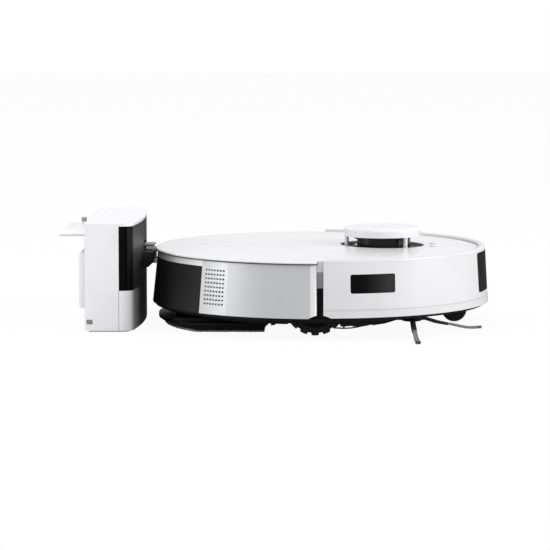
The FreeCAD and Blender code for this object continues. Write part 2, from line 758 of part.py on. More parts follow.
def tyre():
    """Rubber band with chunky lugs and a ring of small slots on its outer face."""
    outer_y = -(wheel_y + wheel_width / 2)
    inner_y = -(wheel_y - wheel_width / 2)
    band = rod_y(wheel_radius, outer_y, inner_y, wheel_x, wheel_radius)
    band = band.cut(rod_y(wheel_radius - 8, outer_y - 1, inner_y + 1, wheel_x, wheel_radius))
    crest = 2 * wheel_radius
    cuts = []
    for index in range(lug_count):
        groove = prism_y([(wheel_x - 1.7, crest - lug_depth), (wheel_x - 2.9, crest + 1), (wheel_x + 2.9, crest + 1),
                          (wheel_x + 1.7, crest - lug_depth)], outer_y - 1, inner_y + 1)
        cuts.append(around_wheel(groove, 360.0 * (index + 0.5) / lug_count))
    slot_count = 3 * lug_count
    for index in range(slot_count):
        slot = block(wheel_x - 0.75, wheel_x + 0.75, outer_y - 1, outer_y + 0.8, crest - 5.6, crest - 3.6)
        cuts.append(around_wheel(slot, 360.0 * index / slot_count))
    return band.cut(cuts)


def around_wheel(shape, angle):
    shape.rotate(V(wheel_x, 0, wheel_radius), V(0, 1, 0), angle)
    return shape


# ---- castor ----
castor_cheek = 8.0


def castor_fork():
    plate = rod(castor_pocket - 1.0, castor_top - 5, castor_top - 1, castor_x)
    cheeks = []
    for side in (RIGHT, LEFT):
        y0, y1 = sorted((side * castor_cheek, side * (castor_cheek + 3)))
        cheeks.append(link((castor_x - castor_trail, castor_radius), 5.0,
                           (castor_x - castor_trail, castor_top - 8), 6.0, y0, y1)
                      .fuse(block(castor_x - castor_trail - 6, castor_x - castor_trail + 6, y0, y1,
                                  castor_top - 8, castor_top - 4)))
    stem = rod(castor_stem, castor_top - 2, castor_top + 11, castor_x)
    bore = rod_y(2 + run_fit, -castor_cheek - 4, castor_cheek + 4, castor_x - castor_trail, castor_radius)
    return one(plate.fuse(cheeks + [stem]).cut(bore))


def castor_wheel():
    x = castor_x - castor_trail
    wheel = rod_y(castor_radius, -castor_cheek + 0.6, castor_cheek - 0.6, x, castor_radius)
    wheel = wheel.makeFillet(3.0, [e for e in wheel.Edges if e.BoundBox.YLength < 0.01])
    axle = rod_y(2, -castor_cheek - 2.6, castor_cheek + 2.6, x, castor_radius)
    return one(wheel.fuse(axle))


# ---- main brush ----
def main_brush():
    core = rod_y(brush_core_radius, -brush_half_y, brush_half_y, brush_x, brush_z)
    stubs = [rod_y(4, -house_half_y - 1.8, house_half_y + 1.8, brush_x, brush_z)]
    fins = []
    for index in range(6):
        for y0, y1 in brush_segments:
            fin = block(brush_x - 1, brush_x + 1, y0, y1, brush_z + brush_core_radius - 1, brush_z + brush_radius)
            fin.rotate(V(brush_x, 0, brush_z), V(0, 1, 0), index * 60)
            fins.append(fin)
    return one(core.fuse(stubs + fins))


guard_bar_y = brush_half_y / 3
brush_segments = [(-brush_half_y, -guard_bar_y - 2.5), (-guard_bar_y + 2.5, guard_bar_y - 2.5),
                  (guard_bar_y + 2.5, brush_half_y)]


def brush_guard():
    frame = block(brush_x - house_half_x - 4, brush_x + house_half_x + 4, -house_half_y - 5, house_half_y + 5,
                  belly_z - 1.6, belly_z)
    mouth = block(brush_x - house_half_x + 1, brush_x + house_half_x - 1, -house_half_y + 4, house_half_y - 4, 0, 20)
    bars = [block(brush_x - house_half_x, brush_x + house_half_x, y - 1, y + 1, belly_z - 3.6, belly_z)
            for y in (-guard_bar_y, guard_bar_y)]
    return one(frame.cut(mouth).fuse(bars))


# ---- side brush ----
side_arm_angles = (-87.5, 32.5, 152.5)


def around_side_brush(shape, angle):
    shape.rotate(V(0, 0, 0), V(0, 0, 1), angle)
    shape.translate(V(side_brush_x, side_brush_y, 0))
    return shape


def side_brush_arms():
    hub = rod(11, front_floor_z - 6.5, front_floor_z - 1.2, side_brush_x, side_brush_y)
    hub = hub.makeFillet(3.0, [e for e in hub.Edges if e.BoundBox.ZMax < front_floor_z - 6.4])
    shaft = rod(side_shaft, front_floor_z - 2, side_motor_z + 5, side_brush_x, side_brush_y)
    arms = []
    for angle in side_arm_angles:
        outline = [(6, front_floor_z - 6), (6, front_floor_z - 2.5), (16, front_floor_z - 3), (30, 12.6),
                   (side_arm_reach, 9.4), (side_arm_reach, 6.4), (30, 9.0), (16, front_floor_z - 6.4)]
        arms.append(around_side_brush(prism_y(outline, -side_arm_width / 2, side_arm_width / 2), angle))
    return one(hub.fuse(arms + [shaft]))


def side_brush_bristles():
    tufts = []
    for angle in side_arm_angles:
        outline = [(side_arm_reach, 6.6), (side_arm_reach, 9.0), (side_arm_reach + 4.3, 6.9), (58, 4.4), (65, 2.6),
                   (72, 1.7), (side_brush_reach, 1.3), (side_brush_reach, 0.4), (64, 0.4), (52, 3.4)]
        tufts.append(around_side_brush(prism_y(outline, -2.2, 2.2), angle))
    return Part.makeCompound(tufts)


# ---- mop ----
mop_half = robot_radius - mop_side_inset
mop_radius = robot_radius - mop_inset
mop_bevel = 5.0


def mop_plate():
    top = mop_plate_z + mop_plate_height
    outline = [(0, mop_plate_z), (mop_radius - mop_bevel, mop_plate_z), (mop_radius, mop_plate_z + 3.5),
               (mop_radius, top), (0, top)]
    trim = block(-robot_radius, mop_front_x, -mop_half, mop_half, 0, 99)
    plate = spun(outline).common(trim)
    plate = plate.cut(prism_y([(mop_front_x - 6, mop_plate_z - 1), (mop_front_x - 6, mop_plate_z),
                               (mop_front_x, top - 1), (mop_front_x + 1, mop_plate_z - 1)], -mop_half, mop_half))
    pod = block(pin_x - 3, mop_front_x - 4, -mop_pod_half + 2, mop_pod_half - 2, top, top + 3.1)
    pins = [rod(pin_radius, top, mop_pocket_z + 10, pin_x, side * pin_y) for side in (RIGHT, LEFT)]
    return one(plate.fuse([pod] + pins))


def mop_pad():
    trim = block(-robot_radius, mop_front_x - 4, -mop_half + 4, mop_half - 4, 0, 99)
    return rod(mop_radius - mop_bevel - 1, 0.0, mop_plate_z).common(trim)


# ---- dock ----
strip_x0 = dock_side_x - 14.6
strip_x1 = dock_side_x - 6.4
trim_x1 = dock_side_x + 1.0     # the white lower trim wraps the front corner up to here
strip_base_z = 42.0


def dock_outline(inset=0.0, z0=foot_height, z1=dock_height):
    """The dock's plan: square back, rounded corners and a front that bulges."""
    half = dock_half_width - inset
    back = dock_back_x + inset
    side = dock_side_x - inset
    front = dock_front_x - inset
    turn = dock_corner - inset
    tight = max(dock_back_corner - inset, 0.5)
    root2 = math.sqrt(0.5)
    edges = [Part.makeLine(V(back, -half + tight, z0), V(back, half - tight, z0)),
             Part.Arc(V(back, half - tight, z0), V(back + tight * (1 - root2), half - tight * (1 - root2), z0),
                      V(back + tight, half, z0)).toShape(),
             Part.makeLine(V(back + tight, half, z0), V(side - turn, half, z0)),
             Part.Arc(V(side - turn, half, z0), V(side - turn * (1 - root2), half - turn * (1 - root2), z0),
                      V(side, half - turn, z0)).toShape(),
             Part.Arc(V(side, half - turn, z0), V(front, 0, z0), V(side, -half + turn, z0)).toShape(),
             Part.Arc(V(side, -half + turn, z0), V(side - turn * (1 - root2), -half + turn * (1 - root2), z0),
                      V(side - turn, -half, z0)).toShape(),
             Part.makeLine(V(side - turn, -half, z0), V(back + tight, -half, z0)),
             Part.Arc(V(back + tight, -half, z0), V(back + tight * (1 - root2), -half + tight * (1 - root2), z0),
                      V(back, -half + tight, z0)).toShape()]
    return Part.Face(Part.Wire(edges)).extrude(V(0, 0, z1 - z0))


def dock_range(x0, x1, z0, z1):
    return block(x0, x1, -dock_half_width - 5, dock_half_width + 5, z0, z1)


def dock_shell():
    """The dock's whole skin, open underneath, before it is split into pieces."""
    return dock_outline().cut(dock_outline(dock_wall, foot_height - 1, dock_height - dock_wall))


def housing_zone():
    far = dock_back_x - 50
    zone = dock_range(far, strip_x0, 0, 200)
    zone = zone.fuse(dock_range(far, trim_x1, 0, strip_base_z))
    return zone.fuse(dock_range(far, 0, dock_height - dock_wall, 200))


def inlet_block(grow=0.0):
    x = dock_back_x + 1.2
    return block(x - grow, x + inlet_width + grow, -dock_half_width - 2, -dock_half_width + 16, 7 - grow,
                 7 + inlet_height + grow)


def dock_housing():
    side_only = dock_range(dock_back_x - 1, dock_front_x, 0, dock_height - dock_wall)
    lower_trim = dock_shell().common(dock_range(strip_x0, trim_x1, 0, strip_base_z)).common(side_only)
    housing = dock_shell().common(housing_zone()).fuse(lower_trim)
    return one(housing.cut(inlet_block()))


def dock_side_strips():
    inset = 1.6
    skin = dock_outline(inset, strip_base_z, dock_height - dock_wall)
    skin = skin.cut(dock_outline(inset + dock_wall, strip_base_z - 1, dock_height))
    return skin.common(dock_range(strip_x0, strip_x1, strip_base_z, dock_height - dock_wall))


latch_half = 14.0
latch_z = wall_top_z + 4.8
latch_pivot_x = dock_side_x - 1.5
latch_tip_x = -(robot_radius - 2.2)


def dock_front_panel():
    """Dark bulging front, with openings for the charging arm and its latch."""
    panel = dock_shell().common(dock_range(strip_x1, 0, 0, 200))
    panel = panel.cut(housing_zone())
    arm_hole = block(dock_back_x, 0, -arm_half_width, arm_half_width, arm_top_z - arm_height, arm_top_z)
    latch_hole = block(dock_side_x - 8, 0, -latch_half - 5, latch_half + 5, arm_top_z, latch_z + 4.8)
    return panel.cut([arm_hole, latch_hole])


def dock_arm():
    """Charging arm with two ears for the latch's pivot."""
    outline = [(dock_side_x - 7, arm_top_z - arm_height), (arm_front_x - 5, arm_top_z - arm_height),
               (arm_front_x, arm_top_z - arm_height + 5), (arm_front_x, arm_top_z - 1.5),
               (arm_front_x - 1.5, arm_top_z), (dock_side_x - 7, arm_top_z)]
    arm = prism_y(outline, -arm_half_width, arm_half_width)
    ears = []
    for side in (RIGHT, LEFT):
        y0, y1 = sorted((side * (latch_half + part_gap), side * (latch_half + 4)))
        ears.append(block(dock_side_x - 5, dock_side_x + 2.5, y0, y1, arm_top_z - 1, latch_z + 3.2))
    slots = [block(contact_face_x - 20, 0, side * contact_y - 4, side * contact_y + 4, contact_z - 2, contact_z + 2)
             for side in (RIGHT, LEFT)]
    bore = rod_y(1.2 + run_fit, -latch_half - 6, latch_half + 6, latch_pivot_x, latch_z)
    return one(arm.fuse(ears).cut(slots + [bore]))


def dock_latch():
    plate = block(dock_side_x - 2.6, latch_tip_x, -latch_half, latch_half, latch_z - 1, latch_z + 1)
    pin = rod_y(1.2, -latch_half - 3.5, latch_half + 3.5, latch_pivot_x, latch_z)
    barrel = rod_y(2.2, -latch_half, latch_half, latch_pivot_x, latch_z)
    return one(plate.fuse([pin, barrel]))


def dock_contacts():
    blades = []
    for side in (RIGHT, LEFT):
        blades.append(block(contact_face_x - 20, contact_face_x - 0.5, side * contact_y - 4, side * contact_y + 4,
                            contact_z - 2, contact_z + 2))
    return Part.makeCompound(blades)


def dock_base():
    return dock_outline(dock_wall, foot_height, foot_height + 2.5).cut(inlet_block())


def dock_foot_pad():
    return dock_outline(dock_wall + 1.5, 0.0, foot_height)


def dock_board():
    x = dock_back_x + dock_wall + 3
    board = block(x, x + 1.6, -60, 60, 12, 60)
    parts = [block(x + 1.6, x + 14, -46, -18, 16, 44), block(x + 1.6, x + 9, 4, 16, 18, 30),
             block(x + 1.6, x + 7, 26, 50, 20, 52)]
    posts = [block(dock_back_x + dock_wall, x, y - 3, y + 3, 30, 36) for y in (-56, 56)]
    return one(board.fuse(parts + posts))


def dock_back_cover():
    plate = block(dock_back_x - 8.5, dock_back_x, -70, 70, 20.6, dock_height - 32.6)
    return plate.makeFillet(3.0, [e for e in plate.Edges if e.BoundBox.XMax < dock_back_x - 8])


def dock_wall_bracket():
    """Thin plate that stands off the back, with one small hook at its left end."""
    plate = block(dock_back_x - 28.3, dock_back_x, -66, 66, dock_height - 15.5, dock_height - 13)
    hook = block(dock_back_x - 16, dock_back_x - 11, 56, 64, dock_height - 13.5, dock_height - 7)
    return one(plate.fuse(hook))


def dock_power_inlet():
    inlet = inlet_block().common(dock_range(dock_back_x, 0, 0, 200))
    inlet = inlet.common(block(dock_back_x, 0, -dock_half_width, 0, 0, 200))
    socket = block(dock_back_x + 2.0, dock_back_x + inlet_width + 0.4, -dock_half_width - 1,
                   -dock_half_width + inlet_depth, 7.8, 6.2 + inlet_height)
    return inlet.cut(socket)


# ---- write every node ----
panel_right, panel_left = both_sides(side_panel)
arm_right, arm_left = both_sides(suspension_arm)
motor_right, motor_left = both_sides(drive_motor)
hub_right, hub_left = both_sides(wheel_hub)
tyre_right, tyre_left = both_sides(tyre)

nodes = {
    "chassis_base": chassis_base(),
    "inner_deck": inner_deck(),
    "underside_screws": underside_screws(),
    "cliff_sensors": cliff_sensors(),
    "side_panel_right": panel_right,
    "side_panel_left": panel_left,
    "vent_grilles": vent_grilles(),
    "rear_panel": rear_panel(),
    "rear_trim": rear_trim(),
    "charging_contacts": charging_contacts(),
    "bumper_shell": bumper_shell(),
    "front_window": front_window(),
    "side_windows": side_windows(),
    "top_cover": top_cover(),
    "status_light": status_light(),
    "power_button": button(-button_spread),
    "home_button": button(button_spread),
    "lidar_base": lidar_base(),
    "lidar_motor": lidar_motor(),
    "lidar_head": lidar_head(),
    "lidar_cap": lidar_cap(),
    "dust_bin": dust_bin(),
    "bin_filter": bin_filter(),
    "bin_lid": bin_lid(),
    "water_tank": water_tank(),
    "suction_duct": suction_duct(),
    "main_board": main_board(),
    "battery_pack": battery_pack(),
    "fan_housing": fan_housing(),
    "fan_impeller": fan_impeller(),
    "brush_motor": brush_motor(),
    "side_brush_motor": side_brush_motor(),
    "suspension_arm_right": arm_right,
    "suspension_arm_left": arm_left,
    "drive_motor_right": motor_right,
    "drive_motor_left": motor_left,
    "wheel_hub_right": hub_right,
    "wheel_hub_left": hub_left,
    "tyre_right": tyre_right,
    "tyre_left": tyre_left,
    "castor_fork": castor_fork(),
    "castor_wheel": castor_wheel(),
    "main_brush": main_brush(),
    "brush_guard": brush_guard(),
    "side_brush_arms": side_brush_arms(),
    "side_brush_bristles": side_brush_bristles(),
    "mop_plate": mop_plate(),
    "mop_pad": mop_pad(),
    "dock_housing": dock_housing(),
    "dock_side_strips": dock_side_strips(),
    "dock_front_panel": dock_front_panel(),
    "dock_arm": dock_arm(),
    "dock_latch": dock_latch(),
    "dock_contacts": dock_contacts(),
    "dock_base": dock_base(),
    "dock_foot_pad": dock_foot_pad(),
    "dock_board": dock_board(),
    "dock_back_cover": dock_back_cover(),
    "dock_wall_bracket": dock_wall_bracket(),
    "dock_power_inlet": dock_power_inlet(),
}
for name, shape in nodes.items():
    save(shape, name)
print(len(nodes), "nodes")
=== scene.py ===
import bpy
import math
import random
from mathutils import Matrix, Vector


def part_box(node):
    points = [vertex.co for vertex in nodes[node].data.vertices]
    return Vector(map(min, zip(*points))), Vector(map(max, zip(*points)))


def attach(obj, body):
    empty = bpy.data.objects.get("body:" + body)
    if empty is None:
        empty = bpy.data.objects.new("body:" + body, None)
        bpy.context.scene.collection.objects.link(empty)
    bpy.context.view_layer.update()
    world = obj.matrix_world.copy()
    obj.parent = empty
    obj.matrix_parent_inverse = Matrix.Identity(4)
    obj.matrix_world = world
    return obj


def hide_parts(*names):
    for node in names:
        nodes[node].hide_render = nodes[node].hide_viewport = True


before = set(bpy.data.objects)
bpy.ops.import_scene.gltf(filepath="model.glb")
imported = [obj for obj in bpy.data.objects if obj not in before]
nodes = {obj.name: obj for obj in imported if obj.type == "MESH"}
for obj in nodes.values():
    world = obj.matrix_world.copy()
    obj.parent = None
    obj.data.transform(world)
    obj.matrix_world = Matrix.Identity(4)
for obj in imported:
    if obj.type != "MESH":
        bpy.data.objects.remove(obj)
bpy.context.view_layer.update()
print("frame loaded:", len(nodes), "nodes")

# camera, floor and lights
studio = {
    "cameraPlace": (0.01744, -3.09088, 0.37358),
    "cameraTurn": (math.pi / 2 - 0.105, 0, 0.021),
    "lens": 194.57,
    "sensor": 36,
    "farthestSeen": 50,      # metres
    "floorSize": 14,
    "floorColour": (0.86, 0.86, 0.86, 1),
    "floorGlow": 0.94,       # share of even white in the floor that the camera sees
    "floorGloss": 0.06,      # the floor's strength in reflections
    "skySeen": 1.0,          # the sky's strength behind the object
    "skyLight": 0.62,        # its light on the robot
    "skyGloss": 0.9,         # and its strength in reflections
    "lamps": (  # name, place, aim, size, watts
        ("overhead", (-0.2, -0.4, 2.4), (0, 0, 0), 2.4, 17),
        ("frontLeft", (-2.8, -1.1, 1.0), (0, 0, 0.05), 1.4, 24),
        ("frontRight", (3.2, -0.9, 1.1), (0, 0, 0.05), 1.6, 72),
        ("backFill", (-1.1, 2.4, 2.0), (0, 0, 0.05), 2.0, 9),
    ),
}


def makeCamera():
    bpy.ops.object.camera_add(location=studio["cameraPlace"], rotation=studio["cameraTurn"])
    camera = bpy.context.object
    camera.name = "mainCamera"
    camera.data.lens = studio["lens"]
    camera.data.sensor_width = studio["sensor"]
    camera.data.clip_end = studio["farthestSeen"]
    bpy.context.scene.camera = camera


def makeLamps():
    for name, place, aim, size, watts in studio["lamps"]:
        bpy.ops.object.light_add(type="AREA", location=place)
        lamp = bpy.context.object
        lamp.name = name
        lamp.data.shape = "DISK"
        lamp.data.size = size
        lamp.data.energy = watts
        away = lamp.location - Vector(aim)
        lamp.rotation_euler = away.to_track_quat("Z", "Y").to_euler()
    world = bpy.data.worlds.new("paleSky")
    world.use_nodes = True
    tree = world.node_tree
    sky = tree.nodes["Background"]
    sky.inputs["Color"].default_value = (1, 1, 1, 1)
    rays = tree.nodes.new("ShaderNodeLightPath")
    strength = studio["skyLight"]
    for ray, share in (("Is Glossy Ray", studio["skyGloss"]), ("Is Camera Ray", studio["skySeen"])):
        pick = tree.nodes.new("ShaderNodeMix")
        if isinstance(strength, float):
            pick.inputs[2].default_value = strength
        else:
            tree.links.new(strength, pick.inputs[2])
        pick.inputs[3].default_value = share
        tree.links.new(rays.outputs[ray], pick.inputs[0])
        strength = pick.outputs[0]
    tree.links.new(strength, sky.inputs["Strength"])
    bpy.context.scene.world = world
    bpy.context.scene.view_settings.view_transform = "Standard"


# shader sums
class Wire:
    # a shader socket that Python sums can use
    def __init__(self, sheet, socket):
        self.sheet = sheet
        self.socket = socket

    def calc(self, operation, other, swapped=False):
        first, second = (other, self) if swapped else (self, other)
        return self.sheet.add("ShaderNodeMath", {"operation": operation}, {0: first, 1: second})

    def __add__(self, other):
        return self.calc("ADD", other)

    def __sub__(self, other):
        return self.calc("SUBTRACT", other)

    def __rsub__(self, other):
        return self.calc("SUBTRACT", other, True)

    def __mul__(self, other):
        return self.calc("MULTIPLY", other)

    def __truediv__(self, other):
        return self.calc("DIVIDE", other)

    def __gt__(self, other):
        return self.calc("GREATER_THAN", other)

    def __lt__(self, other):
        return self.calc("LESS_THAN", other)

    __radd__ = __add__
    __rmul__ = __mul__


class Sheet:
    # one material and the nodes in it
    def __init__(self, name, **settings):
        self.material = bpy.data.materials.new(name)
        self.material.use_nodes = True
        self.tree = self.material.node_tree
        self.shader = self.tree.nodes["Principled BSDF"]
        for socket, value in settings.items():
            self.shader.inputs[socket.replace("_", " ")].default_value = value

    def add(self, kind, settings=(), sockets=(), out=0):
        node = self.tree.nodes.new(kind)
        for key, value in dict(settings).items():
            if key == "stops":
                ramp = node.color_ramp
                while len(ramp.elements) < len(value):
                    ramp.elements.new(0.5)
                for element, (place, colour) in zip(ramp.elements, value):
                    element.position = place
                    element.color = colour
            else:
                setattr(node, key, value)
        for key, value in dict(sockets).items():
            if isinstance(value, Wire):
                self.tree.links.new(value.socket, node.inputs[key])
            else:
                node.inputs[key].default_value = value
        return Wire(self, node.outputs[out])

    def feed(self, socket, wire):
        self.tree.links.new(wire.socket, self.shader.inputs[socket])

    def place(self):
        return self.add("ShaderNodeTexCoord", out=3)

    def axes(self):
        split = self.add("ShaderNodeSeparateXYZ", sockets={0: self.place()})
        outs = split.socket.node.outputs
        return [Wire(self, outs[i]) for i in range(3)]

    def noise(self, scale, detail=3, stretch=None):
        where = self.place()
        if stretch:
            where = self.add("ShaderNodeMapping", sockets={0: where, "Scale": stretch})
        return self.add("ShaderNodeTexNoise",
                        sockets={"Vector": where, "Scale": scale, "Detail": detail})

    def ramp(self, value, low, high):
        return self.add("ShaderNodeMapRange", {"interpolation_type": "SMOOTHSTEP"},
                        {"Value": value, "From Min": low, "From Max": high})

    def mix(self, amount, first, second):
        return self.add("ShaderNodeMix", {"data_type": "RGBA"},
                        {0: amount, 6: first, 7: second}, out=2)

    def bump(self, height, strength, distance=0.0002):
        return self.add("ShaderNodeBump",
                        sockets={"Height": height, "Strength": strength, "Distance": distance})


def grey(value, warm=0.0):
    return (value * (1 + warm), value, value * (1 - warm), 1)


# finishes
def mouldedPlastic(name, colour, roughness, grain, coat=0.0, colourAt=None, shine=0.5):
    # injection-moulded plastic: faint flow marks, fine grain and uneven polish
    sheet = Sheet(name, Coat_Roughness=0.12, Specular_IOR_Level=shine)
    cloud = sheet.noise(22, 4)
    fine = sheet.noise(1400, 2)
    darker = tuple(c * 0.93 for c in colour[:3]) + (1,)
    base = sheet.mix(sheet.ramp(cloud, 0.35, 0.7) * 0.6, colour, darker)
    if colourAt:
        base = colourAt(sheet, base)
    sheet.feed("Base Color", base)
    sheet.feed("Roughness", roughness + 0.08 * (cloud - 0.5) + 0.06 * (fine - 0.5))
    if coat:
        sheet.shader.inputs["Coat Weight"].default_value = coat
    sheet.feed("Normal", sheet.bump(fine, grain))
    return sheet.material


def pill(sheet, x, y, middle, half, radius):
    # 1 inside a capsule drawn along X on a flat top
    along = sheet.add("ShaderNodeMath", {"operation": "ABSOLUTE"}, {0: x - middle[0]})
    past = sheet.add("ShaderNodeMath", {"operation": "MAXIMUM"}, {0: along - half, 1: 0.0})
    side = y - middle[1]
    distance = sheet.add("ShaderNodeMath", {"operation": "SQRT"}, {0: past * past + side * side})
    return 1 - sheet.ramp(distance, radius * 0.85, radius * 1.15)


def topMarks(sheet, base, marks, above, ink):
    # each mark is its middle, half length and radius
    x, y, z = sheet.axes()
    for middle, half, radius in marks:
        inside = pill(sheet, x, y, middle, half, radius) * (z > above)
        base = sheet.mix(inside, base, ink)
    return base


def dockWhite(sheet, base):
    # generic lights on the top, and painted shade on the lower front corner, darker where it turns
    # towards the front
    x, y, z = sheet.axes()
    lights = (((-0.2275, 0.042), 0.0, 0.0016), ((-0.2167, 0.042), 0.004, 0.0009),
              ((-0.2063, 0.042), 0.0, 0.0014))
    base = topMarks(sheet, base, lights, 0.1095, grey(0.2))
    # painted shade: the lower front corner goes grey as it turns away from the light
    cornerShade = sheet.ramp(x, -0.1930, -0.1870) * (z < 0.044)
    base = sheet.mix(cornerShade, base, grey(0.34))
    seam = (x > -0.20385) * (x < -0.20335) * (z < 0.042)
    return sheet.mix(seam * 0.75, base, grey(0.03))


def coverWhite(sheet, base):
    # painted shadow: the rim darkened below 76.8 mm, standing for the shade in the gap under it
    x, y, z = sheet.axes()
    return sheet.mix((z < 0.0768) * 0.92, base, grey(0.02))


def bumperWhite(sheet, base):
    # a soft shadow line above the lower lip
    x, y, z = sheet.axes()
    line = sheet.ramp(z, 0.0299, 0.0305) * (1 - sheet.ramp(z, 0.0308, 0.0318))
    return sheet.mix(line * 0.35, base, grey(0.35))


def panelTone(sheet, base):
    # painted shade: black where the panel meets the recess; and a pale foot, the lower white
    # plastic, with painted shade fading it into the dark front
    x, y, z = sheet.axes()
    base = sheet.mix(1 - sheet.ramp(x, -0.1903, -0.1880), base, grey(0.003))
    # the pale foot is the white plastic, and its fade into the front is painted shade of the
    # turning corner
    footWithShade = (1 - sheet.ramp(x, -0.1886, -0.1840)) * (z < 0.042)
    return sheet.mix(footWithShade, base, grey(0.36))


def bracketTone(sheet, base):
    # grey on the hook, and painted shade in grey under the plate's edge
    x, y, z = sheet.axes()
    return sheet.mix((z > 0.0985) + (z < 0.0950), base, grey(0.30))


def windowTone(sheet, base):
    # smoked cover, with a painted reflection that makes it lighter towards the front
    x, y, z = sheet.axes()
    return sheet.mix(sheet.ramp(x, 0.040, 0.078), base, grey(0.034))


def capWhite(sheet, base):
    # small grey marks on the turret's cap
    marks = (((0.0558, 0.001), 0.0, 0.0012), ((0.0663, 0.001), 0.0035, 0.0007),
             ((0.0767, 0.001), 0.0, 0.0012))
    return topMarks(sheet, base, marks, 0.0985, grey(0.15))


def deckTone(sheet, base):
    # white rim over a grey skirt, and painted shade: black behind the air slots
    x, y, z = sheet.axes()
    base = sheet.mix(z < 0.068, base, grey(0.36))
    return sheet.mix((x < -0.05) * (z < 0.0705), base, grey(0.012))


def silverLacquer(name, level):
    sheet = Sheet(name, Metallic=0.35, Coat_Weight=0.25, Coat_Roughness=0.2)
    flake = sheet.noise(3200, 1)
    cloud = sheet.noise(14, 3)
    tone = sheet.ramp(flake, 0.3, 0.7) * 0.35 + sheet.ramp(cloud, 0.3, 0.7) * 0.3
    base = sheet.mix(tone, grey(level * 0.96, -0.015), grey(level * 1.04, -0.015))
    x, y, z = sheet.axes()
    end = sheet.ramp(x, -0.0096, -0.0086)      # painted highlight: the rounded end made lighter where it catches the light
    sheet.feed("Base Color", sheet.mix(end * 0.8, base, (0.9, 0.9, 0.92, 1)))
    sheet.feed("Roughness", 0.36 + 0.1 * (flake - 0.5))
    sheet.feed("Normal", sheet.bump(flake, 0.05))
    return sheet.material


def rubberSkin(name, colour, roughness=0.72):
    sheet = Sheet(name, Specular_IOR_Level=0.25)
    dust = sheet.noise(60, 5)
    fine = sheet.noise(900, 3)
    pale = tuple(c * 1.8 + 0.004 for c in colour[:3]) + (1,)
    sheet.feed("Base Color", sheet.mix(sheet.ramp(dust, 0.5, 0.8) * 0.5, colour, pale))
    sheet.feed("Roughness", roughness + 0.12 * (dust - 0.5))
    sheet.feed("Normal", sheet.bump(fine, 0.25))
    return sheet.material


def metalSheet(name, colour, roughness, stretch):
    sheet = Sheet(name, Metallic=1.0)
    lines = sheet.noise(300, 4, stretch)
    shade = tuple(c * 0.8 for c in colour[:3]) + (1,)
    sheet.feed("Base Color", sheet.mix(lines, colour, shade))
    sheet.feed("Roughness", roughness + 0.2 * (lines - 0.5))
    sheet.feed("Normal", sheet.bump(lines, 0.08))
    return sheet.material


def circuitLacquer():
    sheet = Sheet("circuitLacquer", Coat_Weight=0.4)
    cells = sheet.add("ShaderNodeTexBrick", {"offset": 0.37},
                      {"Vector": sheet.place(), "Scale": 160, "Mortar Size": 0.03,
                       "Color1": (0.004, 0.07, 0.03, 1), "Color2": (0.006, 0.09, 0.04, 1),
                       "Mortar": (0.02, 0.2, 0.09, 1)})
    dots = sheet.add("ShaderNodeTexVoronoi", sockets={"Vector": sheet.place(), "Scale": 330})
    pads = dots < 0.16
    sheet.feed("Base Color", sheet.mix(pads, cells, (0.75, 0.72, 0.62, 1)))
    sheet.feed("Metallic", pads * 0.9)
    sheet.feed("Roughness", 0.4 - 0.12 * pads)
    return sheet.material


def mopPile():
    # short microfibre loops in rows
    sheet = Sheet("mopPile", Sheen_Weight=0.4, Sheen_Roughness=0.5)
    loops = sheet.add("ShaderNodeTexVoronoi", sockets={"Vector": sheet.place(), "Scale": 620})
    tufts = sheet.noise(240, 4)
    blend = sheet.ramp(loops, 0.1, 0.8) * 0.6 + sheet.ramp(tufts, 0.35, 0.65) * 0.4
    sheet.feed("Base Color", sheet.mix(blend, (0.42, 0.42, 0.44, 1), (0.2, 0.2, 0.215, 1)))
    sheet.feed("Roughness", 0.9 + 0.08 * (tufts - 0.5))
    sheet.feed("Normal", sheet.bump(1 - loops, 0.8, 0.0008))
    return sheet.material


def nylonStrand(hub, reach):
    # pale grey strands with dark tips
    sheet = Sheet("nylonStrand")
    x, y, z = sheet.axes()
    dx, dy = x - hub[0], y - hub[1]
    out = sheet.add("ShaderNodeMath", {"operation": "SQRT"}, {0: dx * dx + dy * dy})
    streak = sheet.noise(1500, 2)
    base = sheet.mix(streak, grey(0.20), grey(0.38))
    tip = sheet.ramp(out, reach - 0.008, reach - 0.001)
    sheet.feed("Base Color", sheet.mix(tip, base, grey(0.02)))
    sheet.feed("Roughness", 0.45 + 0.15 * (streak - 0.5))
    return sheet.material


def pleatedPaper():
    sheet = Sheet("pleatedPaper")
    x, y, z = sheet.axes()
    fold = sheet.add("ShaderNodeMath", {"operation": "PINGPONG"}, {0: x, 1: 0.0015})
    fibre = sheet.noise(700, 4)
    # painted shade: the paper darker down in each fold and lighter on its ridge
    sheet.feed("Base Color", sheet.mix(fold * 500, grey(0.5, 0.03), grey(0.8, 0.03)))
    sheet.feed("Roughness", 0.85 + 0.1 * (fibre - 0.5))
    sheet.feed("Normal", sheet.bump(fold * 600 + 0.2 * fibre, 0.8, 0.001))
    return sheet.material


def frostedLens():
    sheet = Sheet("frostedLens", Emission_Strength=0.15)
    glow = sheet.noise(500, 2)
    sheet.feed("Base Color", sheet.mix(glow, grey(0.22), grey(0.30)))
    sheet.feed("Emission Color", sheet.mix(glow, grey(0.3), grey(0.4)))
    sheet.feed("Roughness", 0.3 + 0.1 * glow)
    return sheet.material


sweeper = {
    "hub": (0.092618, -0.111956),
    "arms": (-87.5, 32.5, 152.5),   # degrees
    "root": 0.0418,                 # where the strands leave an arm
    "reach": 0.0866,
    "strands": 110,
    "fullness": (1.0, 1.0, 0.3),    # the third tuft is pressed flat under the body
    "halfRoot": 0.0019,
    "halfTip": 0.0024,
    "strand": 0.00016,              # radius
    "shortest": 0.93,               # of a strand's full length
    "swept": 0.0012,                # how far the spin bends a tip sideways
    "spread": 0.0012,               # how far strands stray up and down
    "floorGap": 0.0003,
    "seed": 11,
    "fall": ((0.0, 0.0078), (0.2, 0.0060), (0.42, 0.0036),
             (0.6, 0.0020), (0.8, 0.0012), (1.0, 0.0011)),   # share of the run, height
}

